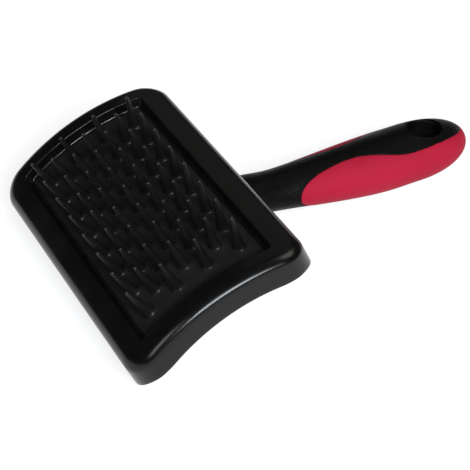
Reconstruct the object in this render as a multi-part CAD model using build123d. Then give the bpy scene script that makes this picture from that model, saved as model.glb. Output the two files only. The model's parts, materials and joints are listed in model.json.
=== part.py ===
"""Pet slicker brush: an arched head with tapered plastic pins on a sloping two-shot handle.

Millimetres, +Z up. The brush lies on its back, as it is put down on a table: it rests on the free long
edge of the head and on the belly of the handle, with the pins up. The handle points along +X and the
head's long side runs along Y.

Two design frames share the crown point, which lies on the head's centre line just under the rim face:
- head frame: X towards the handle, Y along the head, Z out through the middle pins;
- handle frame: the head frame turned down by NECK_ANGLE, with X along the handle.
"""

import os
from math import atan2, cos, degrees, radians, sin, sqrt

from build123d import *

# Head
HEAD_LENGTH = 121.0
HEAD_WIDTH = 71.0
HEAD_DEPTH = 8.8  # crown to underside on the centre line
CROWN_RADIUS = 79.5  # arch through the crown, about an axis along Y
FACE_RADIUS = 80.5  # arch of the rim face, about the same axis
UNDER_RADIUS = 60.0  # arch of the underside, tighter, so the long edges hang deeper
PLAN_CORNER = 9.0
RIM_ROUNDING = 2.8
SKIRT_WALL = 2.6
RIM_THICKNESS = 2.8  # crown to the pad

# Opening in the rim
OPENING_LENGTH = 104.0
OPENING_WIDTH = 50.2
OPENING_SLOPE = 1.3  # how far each wall leans out from the pad to the crown

# Pad and the plate behind it
PAD_THICKNESS = 2.0
PAD_FLANGE = 4.6  # how far the pad reaches under the rim
PLATE_THICKNESS = 1.6
FIT_GAP = 0.2

# Pins
PIN_PITCH = 12.0
PIN_ROWS = 7
PIN_FAN_STEP = 3.7  # degrees between neighbouring rows
PIN_FAN_RADIUS = 96.0
PIN_HEIGHT = 13.7
PIN_BASE_RADIUS = 2.1
PIN_TIP_RADIUS = 0.65
PIN_HEAD_RADIUS = 2.9
PIN_HEAD_THICKNESS = 1.0
PIN_CLEARANCE = 0.1

# Handle, in the handle frame
NECK_ANGLE = 24.5
HANDLE_DROP = 12.6  # crown to the handle's axis
HANDLE_FLATNESS = 0.82  # height over width of every section
NECK_START = 2.0
NECK_RADIUS = 7.1
BELLY_AT = 111.0  # where the grip is thickest and its rounded end starts
BELLY_RADIUS = 10.4
HANDLE_END = 137.4
BOSS_AT = 16.0
BOSS_DROP = 11.6
BOSS_SIZE = (22.0, 15.0, 6.5)  # half lengths of the swelling where the neck joins the head's back

# Grip
GRIP_THICKNESS = 2.2
GRIP_START = 60.2
WAIST_AT = 81.7
WAIST_HALF_WIDTH = 4.5
STRIPE_SWELL_AT = 111.0
STRIPE_SWELL_HALF_WIDTH = 9.6
STRIPE_END = 134.6

# Hang hole
HOLE_AT = 117.9
HOLE_RADIUS = 6.2
HOLE_LIP = 1.8
HOLE_STRAIGHT_HALF = 7.4
HOLE_LEAN = 5.0

PAD_RADIUS = CROWN_RADIUS - RIM_THICKNESS
PLATE_RADIUS = PAD_RADIUS - PAD_THICKNESS
BACK_RADIUS = PLATE_RADIUS - PLATE_THICKNESS
ARCH_CENTRE_Z = -CROWN_RADIUS
UNDER_CENTRE_Z = -HEAD_DEPTH - UNDER_RADIUS
TALL = 60.0


def arch(radius, centre_z=ARCH_CENTRE_Z):
    """A long bar along Y whose round top is the arch of that radius."""
    return Pos(0, 0, centre_z) * Rot(X=90) * Cylinder(radius, 2 * HEAD_LENGTH)


def plan_block(inset, top=10.0, bottom=-TALL):
    """The head's outline, drawn in by inset, as an upright block."""
    corner = max(PLAN_CORNER - inset, 1.0)
    outline = RectangleRounded(HEAD_WIDTH - 2 * inset, HEAD_LENGTH - 2 * inset, corner)
    return Pos(0, 0, bottom) * extrude(outline, top - bottom)


def arched_plate(inset, top_radius, thickness):
    """A plate that follows the arch, with its outline drawn in by inset."""
    return plan_block(inset) & (arch(top_radius) - arch(top_radius - thickness))


def rim_opening():
    """The opening in the rim, whose four walls lean outward towards the face."""
    half_length = OPENING_LENGTH / 2
    half_width = OPENING_WIDTH / 2
    rise = 2 * RIM_THICKNESS
    lean = OPENING_SLOPE * rise / RIM_THICKNESS
    low = PAD_RADIUS - RIM_THICKNESS
    lengthwise = Polyline(
        (0, half_length - OPENING_SLOPE, low),
        (0, half_length + lean, low + 3 * RIM_THICKNESS),
        (0, -half_length - lean, low + 3 * RIM_THICKNESS),
        (0, -half_length + OPENING_SLOPE, low),
        close=True,
    )
    wedge = Rot(Y=-35) * revolve(make_face(lengthwise), Axis.Y, 70)
    edge_z = sqrt(PAD_RADIUS**2 - half_width**2) + ARCH_CENTRE_Z
    crosswise = Polyline(
        (half_width - lean, 0, edge_z - rise),
        (half_width + lean, 0, edge_z + rise),
        (half_width + lean, 0, edge_z + 3 * rise),
        (-half_width - lean, 0, edge_z + 3 * rise),
        (-half_width - lean, 0, edge_z + rise),
        (-half_width + lean, 0, edge_z - rise),
        close=True,
    )
    channel = extrude(make_face(crosswise), HEAD_LENGTH, dir=(0, 1, 0), both=True)
    return (Pos(0, 0, ARCH_CENTRE_Z) * wedge) & channel


def rim_block():
    """The head's outside: arched above and below, with the outer edge of the rim rounded."""
    block = head_envelope()
    face = max(block.faces(), key=lambda f: f.center().Z)
    return fillet(face.edges(), RIM_ROUNDING)


def front_frame():
    """The one-piece hood: rim, opening and skirt."""
    cavity = plan_block(SKIRT_WALL) & arch(PAD_RADIUS)
    return rim_block() - rim_opening() - cavity


def head_envelope():
    """Everything that belongs to the head, so that the neck ends at its underside."""
    return (plan_block(0) & arch(FACE_RADIUS)) - arch(UNDER_RADIUS, UNDER_CENTRE_Z)


def head_back():
    """The closing panel inside the skirt, flush with its lower edge."""
    inside = plan_block(SKIRT_WALL + FIT_GAP) & arch(BACK_RADIUS)
    return inside - arch(UNDER_RADIUS, UNDER_CENTRE_Z)


def pin_profile(extra):
    """One pin upright on the pad's face, grown by extra, as a solid of revolution."""
    shank = PIN_BASE_RADIUS + extra
    head = PIN_HEAD_RADIUS + extra
    tip = PIN_TIP_RADIUS + extra
    root = -PAD_THICKNESS - PIN_HEAD_THICKNESS - extra
    tip_z = PIN_HEIGHT - PIN_TIP_RADIUS
    mid = tip * sin(radians(45))
    line = Polyline(
        (0, 0, tip_z + tip),
        (0, 0, root),
        (head, 0, root),
        (head, 0, -PAD_THICKNESS + extra),
        (shank, 0, -PAD_THICKNESS + extra),
        (shank, 0, 0),
        (tip, 0, tip_z),
    )
    line += ThreePointArc((tip, 0, tip_z), (mid, 0, tip_z + mid), (0, 0, tip_z + tip))
    return revolve(make_face(line), Axis.Z, 360)


def pin_row(row, pin):
    """The pins of one row, numbered from the free edge; odd rows hold one pin more than even rows."""
    step = row - (PIN_ROWS + 1) // 2
    count = 8 if row % 2 else 7
    angle = PIN_FAN_STEP * step
    x = PIN_FAN_RADIUS * sin(radians(angle))
    z = ARCH_CENTRE_Z + sqrt(PAD_RADIUS**2 - x**2)
    places = [PIN_PITCH * (i - (count - 1) / 2) for i in range(count)]
    return [Pos(x, y, z) * Rot(Y=angle) * pin for y in places]


def pin_pad(pin_spaces):
    """The rubber pad, held by its edge under the rim, with a hole for every pin."""
    reach = (HEAD_WIDTH - OPENING_WIDTH) / 2 - PAD_FLANGE
    return arched_plate(reach, PAD_RADIUS, PAD_THICKNESS) - pin_spaces


def backing_plate(pin_spaces):
    """The stiff plate behind the pad, with a pocket for every pin's head."""
    return arched_plate(SKIRT_WALL + FIT_GAP, PLATE_RADIUS, PLATE_THICKNESS) - pin_spaces


def turned_handle(inset):
    """The handle as a round turned shape on the X axis: its outside, or its core when inset."""
    end = HANDLE_END - inset
    outline = Spline(
        (NECK_START, 0),
        (14, NECK_RADIUS + 0.2 - inset),
        (45, NECK_RADIUS - inset),
        (69, NECK_RADIUS + 1.15 - inset),
        (90, BELLY_RADIUS - 0.4 - inset),
        (BELLY_AT, BELLY_RADIUS - inset),
        tangents=((0, 1), (1, 0)),
    )
    dome = EllipticalCenterArc((BELLY_AT, 0), end - BELLY_AT, BELLY_RADIUS - inset, arc_size=90)
    axis_line = Line((NECK_START, 0), (end, 0))
    return revolve(make_face(outline + dome + axis_line), Axis.X, 360)


def flattened(turned):
    """A turned piece made wider than it is tall and lowered to the handle's axis."""
    return Pos(0, 0, -HANDLE_DROP) * scale(turned, by=(1, 1 / HANDLE_FLATNESS, 1))


def stripe_prism():
    """Everything that stays black when seen from above or below: the neck and the waisted stripe.

    The half widths are the finished ones, so each is brought back to the round, turned shape.
    """
    side = [
        (GRIP_START, 11.0),
        (GRIP_START + 1.4, 9.2),
        (GRIP_START + 4.8, 7.5),
        (GRIP_START + 11.0, 5.7),
        (WAIST_AT, WAIST_HALF_WIDTH),
        (WAIST_AT + 9.6, 5.6),
        (WAIST_AT + 18.0, 8.3),
        (STRIPE_SWELL_AT, STRIPE_SWELL_HALF_WIDTH),
        (STRIPE_END - 12.0, 8.3),
        (STRIPE_END - 4.4, 5.6),
        (STRIPE_END, 0),
    ]
    side = [(x, y * HANDLE_FLATNESS) for x, y in side]
    upper = Spline(*side)
    lower = mirror(upper, Plane.XZ)
    reach = side[0][1]
    start = Polyline(
        (GRIP_START, reach),
        (GRIP_START, 2 * reach),
        (NECK_START - 1, 2 * reach),
        (NECK_START - 1, -2 * reach),
        (GRIP_START, -2 * reach),
        (GRIP_START, -reach),
    )
    outline = upper + lower + start
    return Pos(0, 0, -TALL) * extrude(make_face(outline), 2 * TALL)


def hang_hole():
    """The cutter of the hang hole, with a rounded lip at both ends."""
    mouth = HOLE_RADIUS + HOLE_LIP
    low = HOLE_STRAIGHT_HALF
    high = low + HOLE_LIP
    mid_x = mouth - HOLE_LIP * cos(radians(45))
    mid_z = low + HOLE_LIP * sin(radians(45))
    line = Polyline((mouth, 0, -high), (mouth, 0, -TALL), (0, 0, -TALL), (0, 0, TALL), (mouth, 0, TALL), (mouth, 0, high))
    line += ThreePointArc((mouth, 0, high), (mid_x, 0, mid_z), (HOLE_RADIUS, 0, low))
    line += Line((HOLE_RADIUS, 0, low), (HOLE_RADIUS, 0, -low))
    line += ThreePointArc((HOLE_RADIUS, 0, -low), (mid_x, 0, -mid_z), (mouth, 0, -high))
    cutter = revolve(make_face(line), Axis.Z, 360)
    return Pos(HOLE_AT, 0, -HANDLE_DROP) * Rot(Y=HOLE_LEAN) * cutter


def neck_boss():
    """The swelling that spreads the neck over the back of the head."""
    half_x, half_y, half_z = BOSS_SIZE
    ball = scale(Sphere(10), by=(half_x / 10, half_y / 10, half_z / 10))
    return Pos(BOSS_AT, 0, -BOSS_DROP) * ball


def resting_place():
    """Turn and lift the head frame so that the free edge and the handle's belly touch the table."""
    edge_x = -HEAD_WIDTH / 2
    edge_z = UNDER_CENTRE_Z + sqrt(UNDER_RADIUS**2 - edge_x**2)
    down = radians(NECK_ANGLE)
    belly_z = -HANDLE_DROP - BELLY_RADIUS
    belly = (BELLY_AT * cos(down) + belly_z * sin(down), belly_z * cos(down) - BELLY_AT * sin(down))
    tilt = degrees(atan2(edge_z - belly[1], belly[0] - edge_x))
    return tilt, Rot(Y=-tilt)


def build():
    """Every sub-part in the head frame, by name."""
    to_head = Rot(Y=NECK_ANGLE)
    turned = turned_handle(0)
    turned_grip = turned - turned_handle(GRIP_THICKNESS) - stripe_prism()
    grip = flattened(turned_grip)
    core = flattened(turned - turned_grip) - hang_hole()
    handle = to_head * (core + neck_boss()) - head_envelope()
    pin = pin_profile(0)
    space = pin_profile(PIN_CLEARANCE)
    rows = {f"pin_row_{row}": Compound(children=pin_row(row, pin)) for row in range(1, PIN_ROWS + 1)}
    spaces = [solid for row in range(1, PIN_ROWS + 1) for solid in pin_row(row, space)]
    parts = {
        "front_frame": front_frame(),
        "head_back": head_back(),
        "handle_body": handle,
        "red_grip": to_head * grip,
        "pin_pad": pin_pad(spaces),
        "backing_plate": backing_plate(spaces),
    }
    parts.update(rows)
    return parts


def main():
    """Write one STEP file for each sub-part, in the resting frame."""
    os.makedirs("parts", exist_ok=True)
    parts = build()
    tilt, turn = resting_place()
    turned = {name: turn * shape for name, shape in parts.items()}
    box = Compound(children=[s for shape in turned.values() for s in shape.solids()]).bounding_box()
    centre_x = (box.min.X + box.max.X) / 2
    place = Pos(-centre_x, 0, -box.min.Z)
    for name, shape in turned.items():
        export_step(place * shape, f"parts/{name}.step")
    hole = place * turn * Rot(Y=NECK_ANGLE) * Pos(HOLE_AT, 0, -HANDLE_DROP) * Rot(Y=HOLE_LEAN)
    print("rest tilt", round(tilt, 3), "box", box.size)
    print("shift", round(-centre_x, 3), round(-box.min.Z, 3))
    print("hang hole centre", hole.position, "axis", hole.z_axis.direction)


main()
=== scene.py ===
"""Looks of a pet slicker brush: glossy arched head, rubber pad with tapered pins, two-shot handle.

Every size in this file is in millimetres until Placement turns it into metres in the shared frame. Two
design frames share the crown, the middle of the head's rim face: the head frame has X towards the
handle, Y along the head and Z out through the middle pins, and the handle frame is the head frame
turned down by the neck angle, with X along the handle.
"""

import json
import logging
import math
from dataclasses import dataclass
from enum import Enum

import bmesh
import bpy
import numpy as np
from mathutils import Matrix, Vector


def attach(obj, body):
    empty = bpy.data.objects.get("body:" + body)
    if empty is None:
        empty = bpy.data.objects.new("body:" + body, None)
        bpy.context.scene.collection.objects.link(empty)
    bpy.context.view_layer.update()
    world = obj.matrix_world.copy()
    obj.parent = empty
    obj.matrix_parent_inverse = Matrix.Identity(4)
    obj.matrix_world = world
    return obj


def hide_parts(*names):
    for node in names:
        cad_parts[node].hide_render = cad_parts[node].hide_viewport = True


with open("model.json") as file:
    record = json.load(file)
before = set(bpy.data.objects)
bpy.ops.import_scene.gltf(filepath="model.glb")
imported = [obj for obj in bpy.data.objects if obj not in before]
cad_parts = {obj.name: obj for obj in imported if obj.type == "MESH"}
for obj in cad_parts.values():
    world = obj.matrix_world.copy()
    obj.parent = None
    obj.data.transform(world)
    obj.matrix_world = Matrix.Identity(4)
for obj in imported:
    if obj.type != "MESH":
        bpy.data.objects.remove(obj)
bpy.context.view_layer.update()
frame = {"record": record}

log = logging.getLogger("slicker_brush")

Array = np.ndarray

MM = 0.001  # metres in a millimetre
MERGE = 2e-6  # metres; vertices nearer than this are one
CORNER_STEPS, SIDE_STEPS = 14, 64  # of every loop round the hood


class Slot(Enum):
    """Material slots of the record; the pieces do not use them and take their finish from Finishes."""

    HOOD = "gloss_black"
    BODY = "textured_black"
    GRIP = "red_soft_touch"
    PAD = "pad_rubber"
    PIN = "pin_plastic"


# ---------------------------------------------------------------------------------------------------
# Shape helpers
# ---------------------------------------------------------------------------------------------------


def smooth(value: Array, low: float, high: float) -> Array:
    """A soft step: 0 below low, 1 above high, and t * t * (3 - 2 * t) between.

    Args:
        value: where the step is read.
        low: where it starts to rise.
        high: where it is full.

    Returns:
        The step at each value.
    """
    t = np.clip((np.asarray(value, float) - low) / (high - low), 0.0, 1.0)
    return t * t * (3.0 - 2.0 * t)


def grid_faces(rows: int, columns: int, wrap: bool = False) -> Array:
    """Quads of a grid whose vertices are stored row by row.

    Args:
        rows: number of rows.
        columns: number of columns.
        wrap: whether the last column joins the first.

    Returns:
        An (n, 4) array of vertex numbers.
    """
    i = np.arange(rows - 1)[:, None]
    j = np.arange(columns if wrap else columns - 1)[None, :]
    k = (j + 1) % columns
    quads = np.stack([i * columns + j, i * columns + k, (i + 1) * columns + k, (i + 1) * columns + j], -1)
    return quads.reshape(-1, 4)


def rounded_loop(half_x: float, half_y: float, corner: float, per_corner: int, per_side: int) -> Array:
    """A rounded rectangle as a closed loop with the same point count for any size.

    Each corner is a quarter circle, and each side is evenly divided between two corners.

    Args:
        half_x: half its width.
        half_y: half its length.
        corner: corner radius.
        per_corner: steps in each corner.
        per_side: steps in each side.

    Returns:
        An (n, 2) array of points, anticlockwise.
    """
    quarter = np.linspace(0.0, math.pi / 2, per_corner + 1)
    arcs = []
    for turn, (sx, sy) in enumerate(((1, 1), (-1, 1), (-1, -1), (1, -1))):
        angle = quarter + turn * math.pi / 2
        centre = np.array([sx * (half_x - corner), sy * (half_y - corner)])
        arcs.append(centre + corner * np.stack([np.cos(angle), np.sin(angle)], -1))
    share = np.linspace(0.0, 1.0, per_side + 1)[1:-1, None]
    pieces = []
    for here, following in zip(arcs, arcs[1:] + arcs[:1]):
        pieces.append(here)
        pieces.append(here[-1] + (following[0] - here[-1]) * share)
    return np.concatenate(pieces)


def tidy_mesh(mesh: bpy.types.Mesh, sharp: float) -> None:
    """Closes seams and poles, points the faces outwards and keeps only the sharp edges sharp.

    Args:
        mesh: the mesh to finish.
        sharp: edges that turn more than this many degrees stay sharp.
    """
    work = bmesh.new()
    work.from_mesh(mesh)
    bmesh.ops.remove_doubles(work, verts=work.verts, dist=MERGE)
    bmesh.ops.dissolve_degenerate(work, edges=work.edges, dist=MERGE)
    bmesh.ops.recalc_face_normals(work, faces=work.faces)
    work.to_mesh(mesh)
    work.free()
    mesh.shade_smooth()
    mesh.set_sharp_from_angle(angle=math.radians(sharp))


def add_object(name: str, data: bpy.types.ID) -> bpy.types.Object:
    """A new object with that data, linked to the scene."""
    added = bpy.data.objects.new(name, data)
    bpy.context.scene.collection.objects.link(added)
    return added


def make_piece(
    name: str, points: Array, faces: Array, replaces: tuple[str, ...] = (), sharp: float = 50.0
) -> bpy.types.Object:
    """Makes one finished piece that rides on the brush's only body.

    Args:
        name: the piece's name.
        points: (n, 3) vertices in metres.
        faces: (m, 4) vertex numbers.
        replaces: the CAD nodes that the piece stands for.
        sharp: edges that turn more than this many degrees stay sharp.

    Returns:
        The piece.
    """
    mesh = bpy.data.meshes.new(name)
    points = np.asarray(points, float).reshape(-1, 3)
    mesh.from_pydata(points.tolist(), [], np.asarray(faces).reshape(-1, 4).tolist())
    tidy_mesh(mesh, sharp)
    piece = add_object(name, mesh)
    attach(piece, "root")
    if replaces:
        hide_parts(*replaces)
    return piece


# ---------------------------------------------------------------------------------------------------
# Shader helpers
# ---------------------------------------------------------------------------------------------------


class Value:
    """A shader socket that can be added, multiplied and so on, each time with a Math node."""

    def __init__(self, shader: "Shader", socket: bpy.types.NodeSocket) -> None:
        """Keeps the socket and the shader that it belongs to."""
        self.shader = shader
        self.socket = socket

    def _math(self, operation: str, first: object, second: object) -> "Value":
        """One Math node on two values, either of which may be a number."""
        node = self.shader.node("ShaderNodeMath", {"operation": operation}, {0: first, 1: second})
        return Value(self.shader, node.outputs[0])

    def __add__(self, other: object) -> "Value":
        """self + other."""
        return self._math("ADD", self, other)

    def __radd__(self, other: object) -> "Value":
        """other + self."""
        return self._math("ADD", other, self)

    def __sub__(self, other: object) -> "Value":
        """self - other."""
        return self._math("SUBTRACT", self, other)

    def __mul__(self, other: object) -> "Value":
        """self * other."""
        return self._math("MULTIPLY", self, other)

    def above(self, low: float, high: float) -> "Value":
        """A clamped ramp from 0 at low to 1 at high."""
        node = self.shader.node(
            "ShaderNodeMapRange", {"clamp": True}, {"Value": self, "From Min": low, "From Max": high}
        )
        return Value(self.shader, node.outputs["Result"])


class Shader:
    """A material under construction: a Principled shader and the nodes that feed it."""

    def __init__(self, name: str) -> None:
        """Starts an empty material with its output, its Principled shader and millimetre coordinates."""
        self.material = bpy.data.materials.new(name)
        self.material.use_nodes = True
        self.tree = self.material.node_tree
        self.tree.nodes.clear()
        self.output = self.tree.nodes.new("ShaderNodeOutputMaterial")
        self.principled = self.tree.nodes.new("ShaderNodeBsdfPrincipled")
        self.tree.links.new(self.principled.outputs["BSDF"], self.output.inputs["Surface"])
        source = self.tree.nodes.new("ShaderNodeTexCoord").outputs["Object"]
        mapping = self.node("ShaderNodeMapping", {}, {"Vector": source, "Scale": (1 / MM,) * 3})
        self.place = mapping.outputs["Vector"]

    def node(self, kind: str, settings: dict[str, object], inputs: dict[object, object]) -> bpy.types.Node:
        """Adds a node, sets its settings and then the values or links of its sockets.

        Args:
            kind: the node's type.
            settings: attributes set before the sockets.
            inputs: socket name or number to a number, tuple, socket or Value.

        Returns:
            The node.
        """
        node = self.tree.nodes.new(kind)
        for key, value in settings.items():
            setattr(node, key, value)
        for key, value in inputs.items():
            self.feed(node.inputs[key], value)
        return node

    def feed(self, socket: bpy.types.NodeSocket, value: object) -> None:
        """Links another socket or a Value to a socket, or sets a plain number or tuple on it."""
        if isinstance(value, Value):
            value = value.socket
        if isinstance(value, bpy.types.NodeSocket):
            self.tree.links.new(value, socket)
        else:
            socket.default_value = value

    def noise(self, scale: float, detail: float = 3.0, roughness: float = 0.55) -> Value:
        """Smooth noise with about scale features in a millimetre."""
        sockets = {"Vector": self.place, "Scale": scale, "Detail": detail, "Roughness": roughness}
        return Value(self, self.node("ShaderNodeTexNoise", {}, sockets).outputs["Fac"])

    def cells(self, scale: float) -> Value:
        """Distance to the nearest of scattered points, scale of them in a millimetre."""
        node = self.node("ShaderNodeTexVoronoi", {}, {"Vector": self.place, "Scale": scale})
        return Value(self, node.outputs["Distance"])

    def mix(self, share: Value, low: tuple[float, ...], high: tuple[float, ...]) -> bpy.types.NodeSocket:
        """A colour between low and high."""
        node = self.node(
            "ShaderNodeMix",
            {"data_type": "RGBA"},
            {"Factor": share, 6: (*low, 1.0), 7: (*high, 1.0)},
        )
        return node.outputs[2]

    def bump(self, height: Value, depth: float) -> None:
        """Sends a height between 0 and 1 to the shader's normal, depth millimetres deep."""
        sockets = {"Height": height, "Distance": depth * MM, "Strength": 1.0}
        node = self.node("ShaderNodeBump", {}, sockets)
        self.tree.links.new(node.outputs["Normal"], self.principled.inputs["Normal"])

    def set(self, **values: object) -> None:
        """Sets or links the Principled sockets, named with underscores for spaces."""
        for key, value in values.items():
            self.feed(self.principled.inputs[key.replace("_", " ")], value)


@dataclass(frozen=True)
class MouldedPlastic:
    """Black injection-moulded plastic, from a polished tool or a spark-eroded one.

    Attributes:
        name: the material's name.
        low: colour where it is cleanest.
        high: colour where it is rubbed pale, and the pale colour of the painted glints.
        gloss: roughness where it is smoothest.
        worn: roughness where it is rubbed.
        grain: texture grains in a millimetre.
        depth: depth of the grain in millimetres.
        specular: how strongly it reflects, 0.5 for common plastic.
        painted_glint: how far scattered spots of the grain are painted towards the pale colour, as painted
            glints of light.
        mottle: how far the patches and the grain change the colour.
    """

    name: str
    low: tuple[float, float, float]
    high: tuple[float, float, float]
    gloss: float
    worn: float
    grain: float
    depth: float
    specular: float = 0.5
    painted_glint: float = 0.0
    mottle: float = 0.8

    def build(self) -> bpy.types.Material:
        """Makes the material: broad patches of wear over a fine moulded grain, with painted glints on
        scattered spots of it.
        """
        shader = Shader(self.name)
        patches = shader.noise(0.06, 4.0, 0.6).above(0.35, 0.7)
        fine = shader.noise(self.grain, 2.0, 0.6)
        # Painted glints: scattered spots of the grain are painted towards the pale colour, standing in for
        # sparkles of light, and made a little smoother.
        glint_spots = shader.cells(self.grain * 0.45).above(0.16, 0.02) * self.painted_glint
        tone = (patches * 0.6 + fine * 0.4) * self.mottle + glint_spots
        shader.set(
            Base_Color=shader.mix(tone, self.low, self.high),
            Roughness=self.gloss + patches * (self.worn - self.gloss) + glint_spots * -0.15,
            IOR=1.49,
            Specular_IOR_Level=self.specular,
        )
        shader.bump(fine, self.depth)
        return shader.material


@dataclass(frozen=True)
class SoftTouch:
    """Matt soft-touch rubber, over-moulded, with a faint bloom and rubbed patches.

    Attributes:
        name: the material's name.
        deep: colour in the hollows of the surface.
        bright: colour on top.
        roughness: how matt it is.
        sheen: strength of the powdery glow at the edges.
    """

    name: str
    deep: tuple[float, float, float]
    bright: tuple[float, float, float]
    roughness: float
    sheen: float

    def build(self) -> bpy.types.Material:
        """Makes the material: slow tone changes, a powdery grain and a very fine bump."""
        shader = Shader(self.name)
        slow = shader.noise(0.035, 2.0, 0.5).above(0.3, 0.7)
        grain = shader.noise(3.5, 3.0, 0.6)
        shader.set(
            Base_Color=shader.mix(slow * 0.65 + grain * 0.35, self.deep, self.bright),
            Roughness=self.roughness + slow * 0.06 - grain * 0.08,
            Sheen_Weight=self.sheen,
            Sheen_Roughness=0.5,
            Sheen_Tint=(1.0, 0.62, 0.70, 1.0),
            Specular_IOR_Level=0.10,
        )
        shader.bump(grain, 0.02)
        return shader.material


@dataclass(frozen=True)
class Finishes:
    """The brush's finishes, made once and shared by the pieces."""

    hood: bpy.types.Material
    body: bpy.types.Material
    grip: bpy.types.Material
    pad: bpy.types.Material
    pin: bpy.types.Material

    @staticmethod
    def build() -> "Finishes":
        """Makes all finishes."""
        return Finishes(
            hood=MouldedPlastic(
                "hood_gloss", low=(0.0012, 0.0012, 0.0010), high=(0.0034, 0.0034, 0.0030),
                gloss=0.20, worn=0.28, grain=2.2, depth=0.0015, specular=0.29,
            ).build(),
            # The textured body's pale colour comes mostly from painted glints on its grain.
            body=MouldedPlastic(
                "body_texture", low=(0.0010, 0.0010, 0.0008), high=(0.026, 0.026, 0.024),
                gloss=0.34, worn=0.44, grain=1.5, depth=0.30, specular=0.06, painted_glint=0.6, mottle=0.06,
            ).build(),
            grip=SoftTouch(
                "grip_red", deep=(0.245, 0.0038, 0.017), bright=(0.325, 0.0085, 0.029),
                roughness=0.66, sheen=0.02,
            ).build(),
            pad=MouldedPlastic(
                "pad_rubber", low=(0.0050, 0.0050, 0.0045), high=(0.0095, 0.0095, 0.0087),
                gloss=0.72, worn=0.84, grain=2.8, depth=0.03, specular=0.14,
            ).build(),
            pin=MouldedPlastic(
                "pin_satin", low=(0.0030, 0.0030, 0.0026), high=(0.007, 0.007, 0.0062),
                gloss=0.30, worn=0.40, grain=3.0, depth=0.004, specular=0.32,
            ).build(),
        )


# ---------------------------------------------------------------------------------------------------
# Sizes and places
# ---------------------------------------------------------------------------------------------------


@dataclass(frozen=True)
class Placement:
    """Where the two design frames lie in the shared frame.

    The hang hole's mount in the record says where the handle is, and the crown follows from it.

    Attributes:
        rest_tilt: how far the head leans back as the brush lies on its back, in degrees.
        neck_angle: the handle's slope below the head, in degrees.
        hole_at: the hang hole's place along the handle.
        handle_drop: crown to the handle's axis.
    """

    rest_tilt: float = 20.127
    neck_angle: float = 24.5
    hole_at: float = 117.9
    handle_drop: float = 12.6

    def turn(self, points: Array, degrees_down: float) -> Array:
        """Turns points about Y so that +X goes down by that many degrees."""
        angle = math.radians(degrees_down)
        x, y, z = np.moveaxis(np.asarray(points, float), -1, 0)
        c, s = math.cos(angle), math.sin(angle)
        return np.stack([c * x + s * z, y, c * z - s * x], -1)

    def crown(self) -> Array:
        """The crown in the shared frame, in metres, from the hang hole's mount."""
        mount = next(m for m in frame["record"]["mounts"] if m["name"] == "hang_hole")
        arm = self.turn(np.array([self.hole_at, 0.0, -self.handle_drop]), self.neck_angle - self.rest_tilt)
        return np.array(mount["pos_m"]) - arm * MM

    def head(self, points: Array) -> Array:
        """Head-frame millimetres to metres in the shared frame."""
        return self.crown() + self.turn(points, -self.rest_tilt) * MM

    def handle(self, points: Array) -> Array:
        """Handle-frame millimetres to metres in the shared frame."""
        return self.crown() + self.turn(points, self.neck_angle - self.rest_tilt) * MM


@dataclass(frozen=True)
class HeadSizes:
    """Driving sizes of the head, in millimetres.

    Attributes:
        length: along Y.
        width: along X.
        depth: crown to underside on the centre line.
        crown_radius: the arch through the crown.
        face_rise: how far the rim face stands above that arch.
        under_radius: the underside's arch.
        corner: corner radius in plan.
        rounding: rounding of the outer edge.
        end_rounding: how far that rounding reaches in at the two short ends.
        skirt: thickness of the skirt's wall.
        rim: crown to pad.
        opening_length: the opening at the pad, along Y.
        opening_width: the opening at the pad, along X.
        opening_slope: how far each long wall of the opening leans out.
        lift: how far the hem would rise at a square corner.
        lift_reach: how far from the sides the rise starts.
    """

    length: float = 121.4
    width: float = 71.5
    depth: float = 9.7
    crown_radius: float = 79.5
    face_rise: float = 1.0
    under_radius: float = 65.2
    corner: float = 9.6
    rounding: float = 2.9
    end_rounding: float = 4.4
    skirt: float = 2.6
    rim: float = 2.8
    opening_length: float = 104.0
    opening_width: float = 50.2
    opening_slope: float = 1.3
    lift: float = 4.4
    lift_reach: float = 14.0

    def arch(self, x: Array, depth: float = 0.0) -> Array:
        """Height of the arch that lies depth below the crown: a circle about an axis along Y."""
        radius = self.crown_radius - depth
        return np.sqrt(radius**2 - np.asarray(x) ** 2) - self.crown_radius

    def under(self, x: Array) -> Array:
        """Height of the underside's tighter arch."""
        centre = -self.depth - self.under_radius
        return centre + np.sqrt(self.under_radius**2 - np.asarray(x) ** 2)

    def corner_lift(self, loop: Array) -> Array:
        """How far the hem rises near a corner: lift * (dx * dy)^1.6, for how deep x and y are in it."""
        deep = 1 - (np.array([self.width, self.length]) / 2 - np.abs(loop)) / self.lift_reach
        return self.lift * np.clip(deep, 0.0, 1.0).prod(-1) ** 1.6


# ---------------------------------------------------------------------------------------------------
# Head
# ---------------------------------------------------------------------------------------------------


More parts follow.
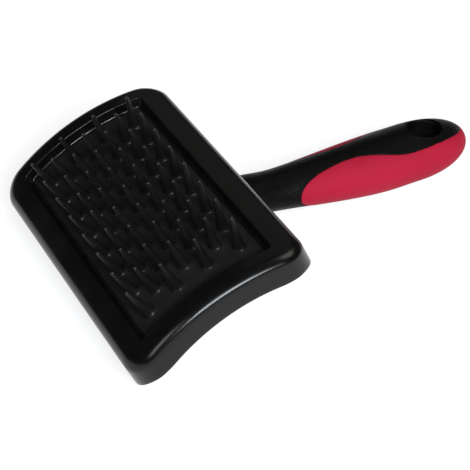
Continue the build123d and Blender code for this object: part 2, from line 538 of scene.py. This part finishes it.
@dataclass
class Hood:
    """The one-piece glossy hood: rim, opening and skirt.

    Attributes:
        sizes: the head's driving sizes.
        place: the frames.
        inner_corner: radius of the opening's corners.
        lip: rounding of the opening's upper edge.
        hem: rounding of the skirt's lower edge.
        ledge: width of the low step that holds the pad down.
        ledge_rise: height of that step above the pad, and its rounding.
        bite: how far the step's foot sinks into the pad.
    """

    sizes: HeadSizes
    place: Placement
    inner_corner: float = 1.6
    lip: float = 0.4
    hem: float = 0.7
    ledge: float = 0.9
    ledge_rise: float = 1.1
    bite: float = 0.3

    def outer_loop(self, inset: float, end_inset: float | None = None) -> Array:
        """The head's outline drawn in by inset, or by end_inset at the two short ends."""
        s = self.sizes
        corner = max(s.corner - inset, 0.6)
        end_inset = inset if end_inset is None else end_inset
        return rounded_loop(s.width / 2 - inset, s.length / 2 - end_inset, corner, CORNER_STEPS, SIDE_STEPS)

    def inner_loop(self, grow: float, slope: float = 0.0) -> Array:
        """The opening's outline at the pad, grown outward, and by slope too, a third of it at the ends."""
        s = self.sizes
        half_x, half_y = s.opening_width / 2 + grow + slope, s.opening_length / 2 + grow + slope / 3
        return rounded_loop(half_x, half_y, max(self.inner_corner + grow, 0.4), CORNER_STEPS, SIDE_STEPS)

    def build(self, finishes: Finishes) -> bpy.types.Object:
        """Carries the rim's section round the head.

        The section starts at the pad, crosses a low rounded ledge, climbs the sloping wall, turns over
        a small lip, crosses the face, turns over the outer edge as a quarter circle, runs down the
        skirt, round the hem and up inside. Each station is a loop in plan, and its height is an arch
        over X, less a drop.

        Args:
            finishes: the brush's finishes.

        Returns:
            The hood.
        """
        s = self.sizes
        rings = []
        ledge_top = s.rim - self.ledge_rise
        for a in np.linspace(0.0, math.pi / 2, 7):
            loop = self.inner_loop(self.ledge_rise * (1 - math.cos(a)) - self.ledge)
            drop = s.rim + self.bite * (a == 0.0) - self.ledge_rise * math.sin(a)
            rings.append((loop, s.arch(loop[:, 0], drop)))
        for t in np.linspace(0.0, 1.0, 5):
            loop = self.inner_loop(0.0, s.opening_slope * t)
            rings.append((loop, s.arch(loop[:, 0], ledge_top * (1 - t) + (self.lip - s.face_rise) * t)))
        for a in np.linspace(0.0, math.pi / 2, 6)[1:]:
            loop = self.inner_loop(self.lip * (1 - math.cos(a)), s.opening_slope)
            rings.append((loop, s.arch(loop[:, 0], self.lip * (1 - math.sin(a)) - s.face_rise)))
        inner, outer = rings[-1][0], self.outer_loop(s.rounding, s.end_rounding)
        for t in np.linspace(0.0, 1.0, 9)[1:]:
            loop = inner + (outer - inner) * t
            rings.append((loop, s.arch(loop[:, 0], -s.face_rise)))
        for a in np.linspace(0.0, math.pi / 2, 12)[1:]:
            loop = self.outer_loop(s.rounding * (1 - math.sin(a)), s.end_rounding * (1 - math.sin(a)))
            rings.append((loop, s.arch(loop[:, 0], -s.face_rise) - s.rounding * (1 - math.cos(a))))
        side = self.outer_loop(0.0)
        lift = s.corner_lift(side)
        top = s.arch(side[:, 0], -s.face_rise) - s.rounding
        low = s.under(side[:, 0]) + self.hem + lift
        for t in np.linspace(0.0, 1.0, 7)[1:]:
            rings.append((side, top + (low - top) * t))
        for a in np.linspace(0.0, math.pi / 2, 5)[1:]:
            loop = self.outer_loop(self.hem * (1 - math.cos(a)))
            rings.append((loop, s.under(loop[:, 0]) + self.hem * (1 - math.sin(a)) + lift))
        inside = self.outer_loop(s.skirt)
        for t in np.linspace(0.0, 1.0, 3):
            height = (s.under(inside[:, 0]) + lift) * (1 - t) + s.arch(inside[:, 0], s.rim) * t
            rings.append((inside, height))
        points = np.stack([np.column_stack([loop, height]) for loop, height in rings])
        rows, columns = points.shape[:2]
        faces = grid_faces(rows + 1, columns, wrap=True) % (rows * columns)
        hood = make_piece("hood", self.place.head(points), faces, ("front_frame",), sharp=60.0)
        hood.data.materials.append(finishes.hood)
        return hood


@dataclass
class BackPanel:
    """The closing panel of the head's back, inside the hood's skirt.

    Attributes:
        sizes: the head's driving sizes.
        place: the frames.
        gap: clearance to the skirt.
        inside_depth: how far below the rim face its inner side lies.
        edge: rounding of its outer edge.
        edge_from: share of the way out where that rounding starts.
        sunk: how far its outer side lies inside the skirt's hem.
    """

    sizes: HeadSizes
    place: Placement
    gap: float = 0.25
    inside_depth: float = 6.4
    edge: float = 0.5
    edge_from: float = 0.985
    sunk: float = 0.15

    def build(self, finishes: Finishes) -> bpy.types.Object:
        """Scales the head's outline towards the middle, once below and once above.

        A point is share * outline, its height is the underside's arch on the outer side and the
        arch behind the pad on the inner side, and the outer side turns in at its edge.

        Args:
            finishes: the brush's finishes.

        Returns:
            The panel.
        """
        s = self.sizes
        inset = s.skirt + self.gap
        outline = rounded_loop(s.width / 2 - inset, s.length / 2 - inset, s.corner - inset, 10, 48)
        share = np.concatenate([np.linspace(0.0, self.edge_from, 26), [0.995, 1.0]])
        plan = share[:, None, None] * outline
        x = plan[..., 0]
        turned_in = np.clip((share - self.edge_from) / (1 - self.edge_from), 0.0, 1.0)[:, None] * self.edge
        to_outline = [s.width / (s.width - 2 * inset), s.length / (s.length - 2 * inset)]
        low = s.under(x) + self.sunk + turned_in + s.corner_lift(plan * to_outline)
        below = np.dstack([plan, low])
        above = np.dstack([plan, s.arch(x, self.inside_depth)])[::-1]
        points = np.concatenate([below, above])
        rows, columns = points.shape[:2]
        panel = make_piece(
            "back_panel",
            self.place.head(points),
            grid_faces(rows, columns, wrap=True),
            ("head_back", "backing_plate"),
        )
        panel.data.materials.append(finishes.body)
        return panel


@dataclass
class PinField:
    """The rubber pad and its pins in seven staggered rows.

    Attributes:
        sizes: the head's driving sizes.
        place: the frames.
        rows: how many rows lie across the head.
        pitch: distance between the pins of a row.
        fan_step: degrees between neighbouring rows.
        fan_radius: distance from the pins' bases to the line that they fan out from.
        height: pin height above the pad.
        base: pin radius at the pad.
        tip: radius of the rounded tip.
        root: how far a pin runs on below the pad.
        fillet: how far the foot fillet stands out.
        fillet_fall: height over which that fillet fades.
        flange: how far the pad reaches under the rim.
        thickness: the pad's thickness.
        swell: how far the rubber is drawn up round a pin.
        swell_reach: how wide that swelling is.
        sag: how far the free rubber lies below the flange.
        lean: the pins' small random lean in degrees.
    """

    sizes: HeadSizes
    place: Placement
    rows: int = 7
    pitch: float = 12.0
    fan_step: float = 3.7
    fan_radius: float = 96.0
    height: float = 13.7
    base: float = 2.1
    tip: float = 0.65
    root: float = 1.2
    fillet: float = 0.45
    fillet_fall: float = 0.5
    flange: float = 4.6
    thickness: float = 2.0
    swell: float = 0.5
    swell_reach: float = 2.6
    sag: float = 0.18
    lean: float = 0.5

    def feet(self, row: int) -> Array:
        """The feet of one row's pins on the pad, row 1 at the free edge."""
        count = 8 if row % 2 else 7
        angle = math.radians(self.fan_step * (row - (self.rows + 1) // 2))
        x = self.fan_radius * math.sin(angle)
        y = self.pitch * (np.arange(count) - (count - 1) / 2)
        z = np.full(count, self.sizes.arch(x, self.sizes.rim))
        return np.column_stack([np.full(count, x), y, z])

    def pin_profile(self) -> Array:
        """Radius and height along one pin.

        A small foot fillet runs into an even taper, and a hemisphere closes the tip.
        """
        h = self.height - self.tip
        foot = np.linspace(0.0, 1.0, 5) ** 1.5 * 2.0
        z = np.concatenate([[-self.root, -0.3], foot, np.linspace(2.8, h, 9)])
        above = np.clip(z, 0, h)
        radius = self.tip + (self.base - self.tip) * (1 - above / h)
        radius += self.fillet * np.exp(-above / self.fillet_fall)
        cap = np.linspace(0.0, math.pi / 2, 7)[1:]
        z = np.concatenate([z, h + self.tip * np.sin(cap)])
        radius = np.concatenate([radius, self.tip * np.cos(cap)])
        radius[-1] = 0.0
        return np.column_stack([np.concatenate([[0.0], radius]), np.concatenate([[-self.root], z])])

    def build_row(self, row: int, finishes: Finishes) -> bpy.types.Object:
        """Turns the profile about each pin's own axis and leans it with its row.

        Args:
            row: the row's number, 1 at the free edge.
            finishes: the brush's finishes.

        Returns:
            The row's pins as one piece.
        """
        around = 20
        feet = self.feet(row)
        profile = self.pin_profile()
        turn = np.linspace(0.0, 2 * math.pi, around, endpoint=False)
        ring = np.stack([np.cos(turn), np.sin(turn)], -1)
        heights = np.broadcast_to(profile[:, None, 1:], (len(profile), around, 1))
        pin = np.concatenate([profile[:, None, :1] * ring, heights], -1)
        drift = np.radians(np.random.default_rng(row).normal(0.0, self.lean, (len(feet), 2)))
        fan = math.radians(self.fan_step * (row - (self.rows + 1) // 2)) + drift[:, 0]
        c, s = np.cos(fan)[:, None, None], np.sin(fan)[:, None, None]
        x = c * pin[..., 0] + s * pin[..., 2]
        z = c * pin[..., 2] - s * pin[..., 0]
        y = pin[..., 1] + np.tan(drift[:, 1])[:, None, None] * pin[..., 2]
        points = np.stack([x, y, z], -1) + feet[:, None, None, :]
        per_pin = len(profile) * around
        faces = grid_faces(len(profile), around, wrap=True)
        faces = faces[None] + per_pin * np.arange(len(feet))[:, None, None]
        name = f"pins_{row}"
        piece = make_piece(name, self.place.head(points), faces, (f"pin_row_{row}",), sharp=70.0)
        piece.data.materials.append(finishes.pin)
        return piece

    def build_pad(self, finishes: Finishes) -> bpy.types.Object:
        """The pad as a sheet on the arch, drawn up a little round every pin.

        The height over the arch is a sum of bells, swell * exp(-(d / swell_reach)^4), where d is the
        distance to each pin's foot, less a shallow sag of the free rubber between the rows.

        Args:
            finishes: the brush's finishes.

        Returns:
            The pad.
        """
        s = self.sizes
        half_x, half_y = s.opening_width / 2 + self.flange, s.opening_length / 2 + self.flange
        across, along = np.linspace(-half_x, half_x, 150), np.linspace(-half_y, half_y, 270)
        x, y = np.meshgrid(across, along, indexing="ij")
        feet = np.concatenate([self.feet(row) for row in range(1, self.rows + 1)])
        gap = np.hypot(x[..., None] - feet[:, 0], y[..., None] - feet[:, 1])
        swell = self.swell * np.exp(-((gap / self.swell_reach) ** 4)).sum(-1)
        held = self.flange - 0.2
        free = 1.0 - smooth(np.maximum(np.abs(x) / (half_x - held), np.abs(y) / (half_y - held)), 0.9, 1.0)
        top = s.arch(x, s.rim) - 0.03 + (swell - self.sag) * free
        upper = np.stack([x, y, top], -1)
        lower = np.stack([x, y, s.arch(x, s.rim + self.thickness)], -1)
        rows, columns = x.shape
        faces = grid_faces(rows, columns)
        count = rows * columns
        numbers = np.arange(count).reshape(rows, columns)
        edge = np.concatenate([numbers[0, :-1], numbers[:-1, -1], numbers[-1, :0:-1], numbers[:0:-1, 0]])
        ahead = np.roll(edge, -1)
        wall = np.stack([edge, ahead, ahead + count, edge + count], -1)
        faces = np.concatenate([faces, faces[:, ::-1] + count, wall])
        points = self.place.head(np.concatenate([upper.reshape(-1, 3), lower.reshape(-1, 3)]))
        pad = make_piece("pad", points, faces, ("pin_pad",), sharp=60.0)
        pad.data.materials.append(finishes.pad)
        return pad


# ---------------------------------------------------------------------------------------------------
# Handle
# ---------------------------------------------------------------------------------------------------


@dataclass
class Handle:
    """The handle: black body with a waisted stripe above and below, and the red grip round it.

    Attributes:
        place: the frames.
        start: where the root begins, inside the head's back.
        neck: half height of the neck.
        belly: half height of the grip.
        flatness: height over width of every section.
        dome_at: where the rounded end starts.
        end: the far end of the handle.
        nose_at: where the red's nose starts.
        nose: half width of the black there, wider than the neck.
        waist_at: where the black stripe reaches its waist.
        waist_end: where the stripe starts to widen again.
        waist: half width of the waist.
        swell_at: where the stripe is widest, round the hang hole.
        swell: half width there.
        stripe_end: where the stripe ends, short of the tip.
        grip_depth: thickness of the red rubber.
        hole_radius: radius of the hang hole's straight wall.
        hole_lip: rounding at both mouths of the hang hole.
        hole_straight: half length of the straight wall.
        hole_lean: how far the hole leans towards the end, in degrees.
    """

    place: Placement
    start: float = 2.0
    neck: float = 6.8
    belly: float = 10.5
    flatness: float = 0.82
    dome_at: float = 112.0
    end: float = 136.9
    nose_at: float = 60.0
    nose: float = 11.0
    waist_at: float = 81.7
    waist_end: float = 83.5
    waist: float = 4.5
    swell_at: float = 109.0
    swell: float = 9.6
    stripe_end: float = 134.6
    grip_depth: float = 2.0
    hole_radius: float = 6.2
    hole_lip: float = 0.9
    hole_straight: float = 8.3
    hole_lean: float = 5.0

    def half_height(self, x: Array) -> Array:
        """Half height: a soft step from neck to belly, a flared root and a superellipse at the end."""
        x = np.asarray(x, float)
        body = self.neck + (self.belly - self.neck) * smooth(x, 42.0, 104.0)
        root = 0.6 * (1 - smooth(x, 8.0, 34.0))
        closing = np.clip((self.start + 12.0 - x) / 12.0, 0.0, 1.0)
        dome = np.clip((x - self.dome_at) / (self.end - self.dome_at), 0.0, 1.0)
        ends = np.sqrt(1 - closing**2) * (1 - dome**2.2) ** (1 / 2.2)
        return (body + root) * ends

    def half_width(self, x: Array) -> Array:
        """Half width: the half height over the flatness, spread where the root joins the head."""
        spread = 1 + 0.3 * (1 - smooth(x, 6.0, 34.0)) + 0.28 * (1 - smooth(x, 24.0, 58.0))
        return self.half_height(x) / self.flatness * spread

    def axis_height(self, x: Array) -> Array:
        """Height of the section's middle: a shallow bow, lifted a little at the root and at the end."""
        reach = np.clip(np.asarray(x, float) - 100.0, -54.0, 60.0)
        ends = 0.8 * (1 - smooth(x, 38.0, 56.0)) + 0.3 * smooth(x, 95.0, 114.0)
        return -self.place.handle_drop - 0.35 + 0.00072 * reach**2 + ends

    def surface(self, x: Array, angle: Array, lift: Array) -> Array:
        """Points of the outside: an ellipse across the handle at each place along it, plus a lift.

        Args:
            x: place along the handle.
            angle: from the top, positive towards +Y, in radians.
            lift: distance outward from the plain shape.

        Returns:
            Points in the handle frame.
        """
        a, b = self.half_width(x), self.half_height(x)
        out_y, out_z = np.sin(angle) / np.maximum(a, 0.3), np.cos(angle) / np.maximum(b, 0.3)
        size = np.hypot(out_y, out_z)
        y = a * np.sin(angle) + lift * out_y / size
        z = b * np.cos(angle) + lift * out_z / size
        return np.stack([x, y, self.axis_height(x) + z], -1)

    def stripe_half_width(self, x: Array) -> Array:
        """Half width of the black stripe at x.

        With t as the share of each stretch, the nose narrows to the waist as (1 - t^0.6)^1.5, the
        waist opens to the swell as a soft step, and the end closes as (1 - t^2.15)^(1 / 2.15).
        """
        t = np.clip((x - self.nose_at) / (self.waist_at - self.nose_at), 0.0, 1.0)
        nose = self.waist + (self.nose - self.waist) * (1 - t**0.6) ** 1.5
        opening = self.waist + (self.swell - self.waist) * smooth(x, self.waist_end, self.swell_at)
        t = np.clip((x - self.swell_at) / (self.stripe_end - self.swell_at), 0.0, 1.0)
        return np.where(x < self.waist_at, nose, opening * (1 - t**2.15) ** (1 / 2.15))

    def edge_angle(self, x: Array) -> Array:
        """Angle from the top at which the red starts: asin(stripe / half width)."""
        share = self.stripe_half_width(x) / np.maximum(self.half_width(x), 1e-3)
        return np.arcsin(np.clip(share, 0.0, 1.0))

    def edge_distance(self, x: Array, angle: Array) -> Array:
        """Distance over the surface to the red's outline, positive inside the red.

        Both are unrolled: along the handle, and angle times the mean radius across it. The top and
        bottom outlines are alike, so the angle is folded to the nearer one.
        """
        folded = np.minimum(np.abs(angle), math.pi - np.abs(angle))
        share = (1 - np.cos(np.linspace(0.0, math.pi, 260))) / 2
        along = self.nose_at + (self.stripe_end - self.nose_at) * share
        across = self.stripe_half_width(along)
        limit = self.half_width(along)
        keep = across <= limit
        along, across = along[keep], across[keep]
        size = (self.half_width(x) + self.half_height(x)) / 2
        outline_size = (self.half_width(along) + limit[keep] * self.flatness) / 2
        outline_y = np.arcsin(np.clip(across / self.half_width(along), 0, 1)) * outline_size
        flat = np.stack([x, folded * size], -1).reshape(-1, 2)
        nearest = np.empty(len(flat))
        for part in np.array_split(np.arange(len(flat)), 24):
            gap = flat[part, None, :] - np.stack([along, outline_y], -1)
            nearest[part] = np.sqrt((gap**2).sum(-1)).min(-1)
        nearest = nearest.reshape(x.shape)
        inside = (folded > self.edge_angle(x)) & (x > along[0])
        return np.where(inside, nearest, -nearest)

    def hole_cutter(self) -> bpy.types.Object:
        """A solid of revolution for the hang hole: a straight wall between two rounded mouths."""
        turn = np.linspace(0.0, math.pi / 2, 9)
        mouth = self.hole_radius + self.hole_lip
        lip_r = mouth - self.hole_lip * np.cos(turn)
        lip_z = self.hole_straight + self.hole_lip * np.sin(turn)
        radius = np.concatenate([[0.0, mouth], lip_r[::-1], lip_r, [mouth, 0.0]])
        past = 30.0
        height = np.concatenate([[-past, -past], -lip_z[::-1], lip_z, [past, past]])
        around = np.linspace(0.0, 2 * math.pi, 96, endpoint=False)
        x = radius[:, None] * np.cos(around)
        y = radius[:, None] * np.sin(around)
        z = np.broadcast_to(height[:, None], x.shape)
        points = self.place.turn(np.stack([x, y, z], -1), self.hole_lean)
        points = points + np.array([self.place.hole_at, 0.0, -self.place.handle_drop])
        mesh = bpy.data.meshes.new("hole_cutter")
        faces = grid_faces(len(radius), len(around), wrap=True)
        mesh.from_pydata(self.place.handle(points).reshape(-1, 3).tolist(), [], faces.tolist())
        tidy_mesh(mesh, 50.0)
        return add_object("hole_cutter", mesh)

    def build_body(self, finishes: Finishes) -> bpy.types.Object:
        """The black body: the plain outside, sunk under the red, with the hang hole cut through.

        Args:
            finishes: the brush's finishes.

        Returns:
            The body.
        """
        share = np.linspace(0.0, 1.0, 330)
        x = self.start + (self.end - self.start) * (share - np.sin(2 * math.pi * share) / (2.4 * math.pi))
        angle = np.linspace(0.0, 2 * math.pi, 192, endpoint=False)
        x, angle = np.meshgrid(x, angle, indexing="ij")
        around = np.where(angle > math.pi, 2 * math.pi - angle, angle)
        sunk = 0.6 * smooth(self.edge_distance(x, around), -0.15, 0.5)
        points = self.surface(x, angle, -sunk * smooth(self.half_height(x), 0.2, 2.0))
        body = make_piece(
            "handle_body_shell",
            self.place.handle(points),
            grid_faces(*x.shape, wrap=True),
            ("handle_body",),
            sharp=60.0,
        )
        cutter = self.hole_cutter()
        cut = body.modifiers.new("hang_hole", "BOOLEAN")
        cut.operation, cut.object, cut.solver = "DIFFERENCE", cutter, "EXACT"
        bpy.context.view_layer.update()
        evaluated = body.evaluated_get(bpy.context.evaluated_depsgraph_get())
        finished = bpy.data.meshes.new_from_object(evaluated)
        body.modifiers.clear()
        body.data = finished
        bpy.data.objects.remove(cutter)
        finished.shade_smooth()
        finished.set_sharp_from_angle(angle=math.radians(32.0))
        finished.materials.clear()
        finished.materials.append(finishes.body)
        return body

    def build_grip(self, finishes: Finishes) -> bpy.types.Object:
        """The red grip: a thick skin over both flanks, joined round the end.

        One flank runs from the upper outline round to the lower one at each place along the handle,
        and the other is its mirror image. The skin stands a little proud and turns down as a quarter
        circle at its outline. Past the stripe's end the two flanks meet, so they have no wall there.

        Args:
            finishes: the brush's finishes.

        Returns:
            The grip.
        """
        probe = np.linspace(self.nose_at - 2, self.nose_at + 10, 2401)
        nose = probe[np.argmax(self.stripe_half_width(probe) < self.half_width(probe))]
        share = np.linspace(0.0, 1.0, 260)
        along = nose + (self.end - nose) * (1 - np.cos(math.pi * share)) / 2
        along = np.sort(np.append(along, self.stripe_end))
        edge = self.edge_angle(along)
        across = (1 - np.cos(math.pi * np.linspace(0.0, 1.0, 72))) / 2
        x = np.broadcast_to(along[:, None], (len(along), len(across)))
        angle = edge[:, None] + (math.pi - 2 * edge[:, None]) * across
        edge_radius, proud, foot = 0.8, 0.1, 0.45
        inward = np.clip(self.edge_distance(x, angle), 0.0, edge_radius) / edge_radius
        lift = -foot + (proud + foot) * np.sqrt(1 - (1 - inward) ** 2)
        fade = smooth(self.half_height(x), 0.1, 1.5)
        outer = self.surface(x, angle, lift * fade)
        inner = self.surface(x, angle, -self.grip_depth * fade)
        rows, columns = x.shape
        count = rows * columns
        sheet = grid_faces(rows, columns)
        joined = int(np.searchsorted(along, self.stripe_end))
        steps = np.arange(joined)
        sides = []
        for column in (0, columns - 1):
            low = steps * columns + column
            sides.append(np.stack([low, low + columns, low + columns + count, low + count], -1))
        half_faces = np.concatenate([sheet, sheet[:, ::-1] + count, *sides])
        half_points = np.concatenate([outer.reshape(-1, 3), inner.reshape(-1, 3)])
        other = half_points * np.array([1.0, -1.0, 1.0])
        points = self.place.handle(np.concatenate([half_points, other]))
        faces = np.concatenate([half_faces, half_faces[:, ::-1] + 2 * count])
        grip = make_piece("grip", points, faces, ("red_grip",), sharp=60.0)
        grip.data.materials.append(finishes.grip)
        return grip


# ---------------------------------------------------------------------------------------------------
# Studio
# ---------------------------------------------------------------------------------------------------


@dataclass(frozen=True)
class SoftBox:
    """One rectangular studio light that looks at a point.

    Attributes:
        name: the light's name.
        place: where it hangs, in metres.
        aim: what it points at.
        size: its width and height.
        power: in watts.
        color: its tint.
    """

    name: str
    place: tuple[float, float, float]
    aim: tuple[float, float, float]
    size: tuple[float, float]
    power: float
    color: tuple[float, float, float] = (1.0, 1.0, 1.0)

    def build(self) -> None:
        """Hangs the light."""
        data = bpy.data.lights.new(self.name, "AREA")
        data.shape, data.size, data.size_y = "RECTANGLE", *self.size
        data.energy, data.color = self.power, self.color
        light = add_object(self.name, data)
        light.location = self.place
        light.rotation_euler = (Vector(self.aim) - Vector(self.place)).to_track_quat("-Z", "Y").to_euler()


@dataclass
class Studio:
    """Floor, lights and camera.

    Attributes:
        azimuth: camera direction round the brush, 0 along +Y, in degrees.
        elevation: camera height above the horizon, in degrees.
        roll: camera roll, in degrees.
        aim: the point at the middle of the view.
        distance: camera to aim.
        lens: focal length over a 36 mm sensor.
    """

    azimuth: float = -24.163
    elevation: float = 38.569
    roll: float = -4.984
    aim: tuple[float, float, float] = (-0.02505, -0.01984, 0.01931)
    distance: float = 0.5604
    lens: float = 122.446

    def build_floor(self) -> bpy.types.Object:
        """A pale matt floor, partly self-lit, that reaches past the view on all sides."""
        side = np.linspace(-3.0, 3.0, 3)
        x, y = np.meshgrid(side, side, indexing="ij")
        points = np.stack([x, y, np.full_like(x, -0.0002)], -1).reshape(-1, 3)
        mesh = bpy.data.meshes.new("floor")
        mesh.from_pydata(points.tolist(), [], grid_faces(3, 3)[:, ::-1].tolist())
        floor = add_object("floor", mesh)
        shader = Shader("floor_paper")
        shader.set(
            Base_Color=(0.30, 0.30, 0.30, 1.0),
            Roughness=0.95,
            Specular_IOR_Level=0.0,
            Emission_Color=(1.0, 1.0, 1.0, 1.0),
            Emission_Strength=0.76,
        )
        mesh.materials.append(shader.material)
        return floor

    def build_lights(self) -> None:
        """Plain soft studio light: a key in front, weaker boxes round it and a faint surround."""
        world = bpy.data.worlds.new("surround")
        world.use_nodes = True
        background = world.node_tree.nodes["Background"]
        background.inputs["Color"].default_value = (0.90, 0.95, 1.0, 1.0)
        background.inputs["Strength"].default_value = 0.045
        bpy.context.scene.world = world
        target = (0.0, 0.0, 0.02)
        boxes = (
            SoftBox("front_box", (-0.14, -1.28, 0.92), target, (0.8, 0.42), 38.0, (0.90, 0.94, 1.0)),
            SoftBox("over_box", (1.0, 0.1, 1.6), target, (0.9, 0.9), 7.5, (1.0, 0.98, 0.93)),
            SoftBox("left_box", (-1.5, -0.6, 1.3), target, (0.7, 0.7), 8.0),
            SoftBox("back_box", (0.62, 1.2, 1.1), target, (0.9, 0.9), 0.35, (1.0, 1.0, 0.9)),
        )
        for box in boxes:
            box.build()

    def build_camera(self) -> None:
        """The camera: it looks at the aim from an azimuth and elevation, and is rolled about its view."""
        a, e = math.radians(self.azimuth), math.radians(self.elevation)
        back = Vector((math.sin(a) * math.cos(e), -math.cos(a) * math.cos(e), math.sin(e)))
        right = Vector((math.cos(a), math.sin(a), 0.0))
        up = back.cross(right)
        turn = Matrix((right, up, back)).transposed() @ Matrix.Rotation(math.radians(self.roll), 3, "Z")
        data = bpy.data.cameras.new("camera")
        data.lens, data.sensor_width = self.lens, 36.0
        data.clip_start, data.clip_end = 0.01, 20.0
        camera = add_object("camera", data)
        camera.location = Vector(self.aim) + back * self.distance
        camera.rotation_euler = turn.to_euler()
        bpy.context.scene.camera = camera
        bpy.context.scene.view_settings.view_transform = "Standard"


def main() -> None:
    """Builds the studio and the brush's pieces in order."""
    logging.basicConfig(level=logging.INFO, format="%(name)s: %(message)s")
    studio = Studio()
    studio.build_floor()
    studio.build_lights()
    studio.build_camera()
    finishes = Finishes.build()
    place, sizes = Placement(), HeadSizes()
    field_of_pins = PinField(sizes, place)
    handle = Handle(place)
    pieces = [
        Hood(sizes, place).build(finishes),
        BackPanel(sizes, place).build(finishes),
        field_of_pins.build_pad(finishes),
        *(field_of_pins.build_row(row, finishes) for row in range(1, field_of_pins.rows + 1)),
        handle.build_body(finishes),
        handle.build_grip(finishes),
    ]
    for piece in pieces:
        size = np.ptp(np.array(piece.bound_box), axis=0) / MM
        log.info("%s: %d faces, %s mm", piece.name, len(piece.data.polygons), np.round(size, 1))


if __name__ == "__main__":
    main()
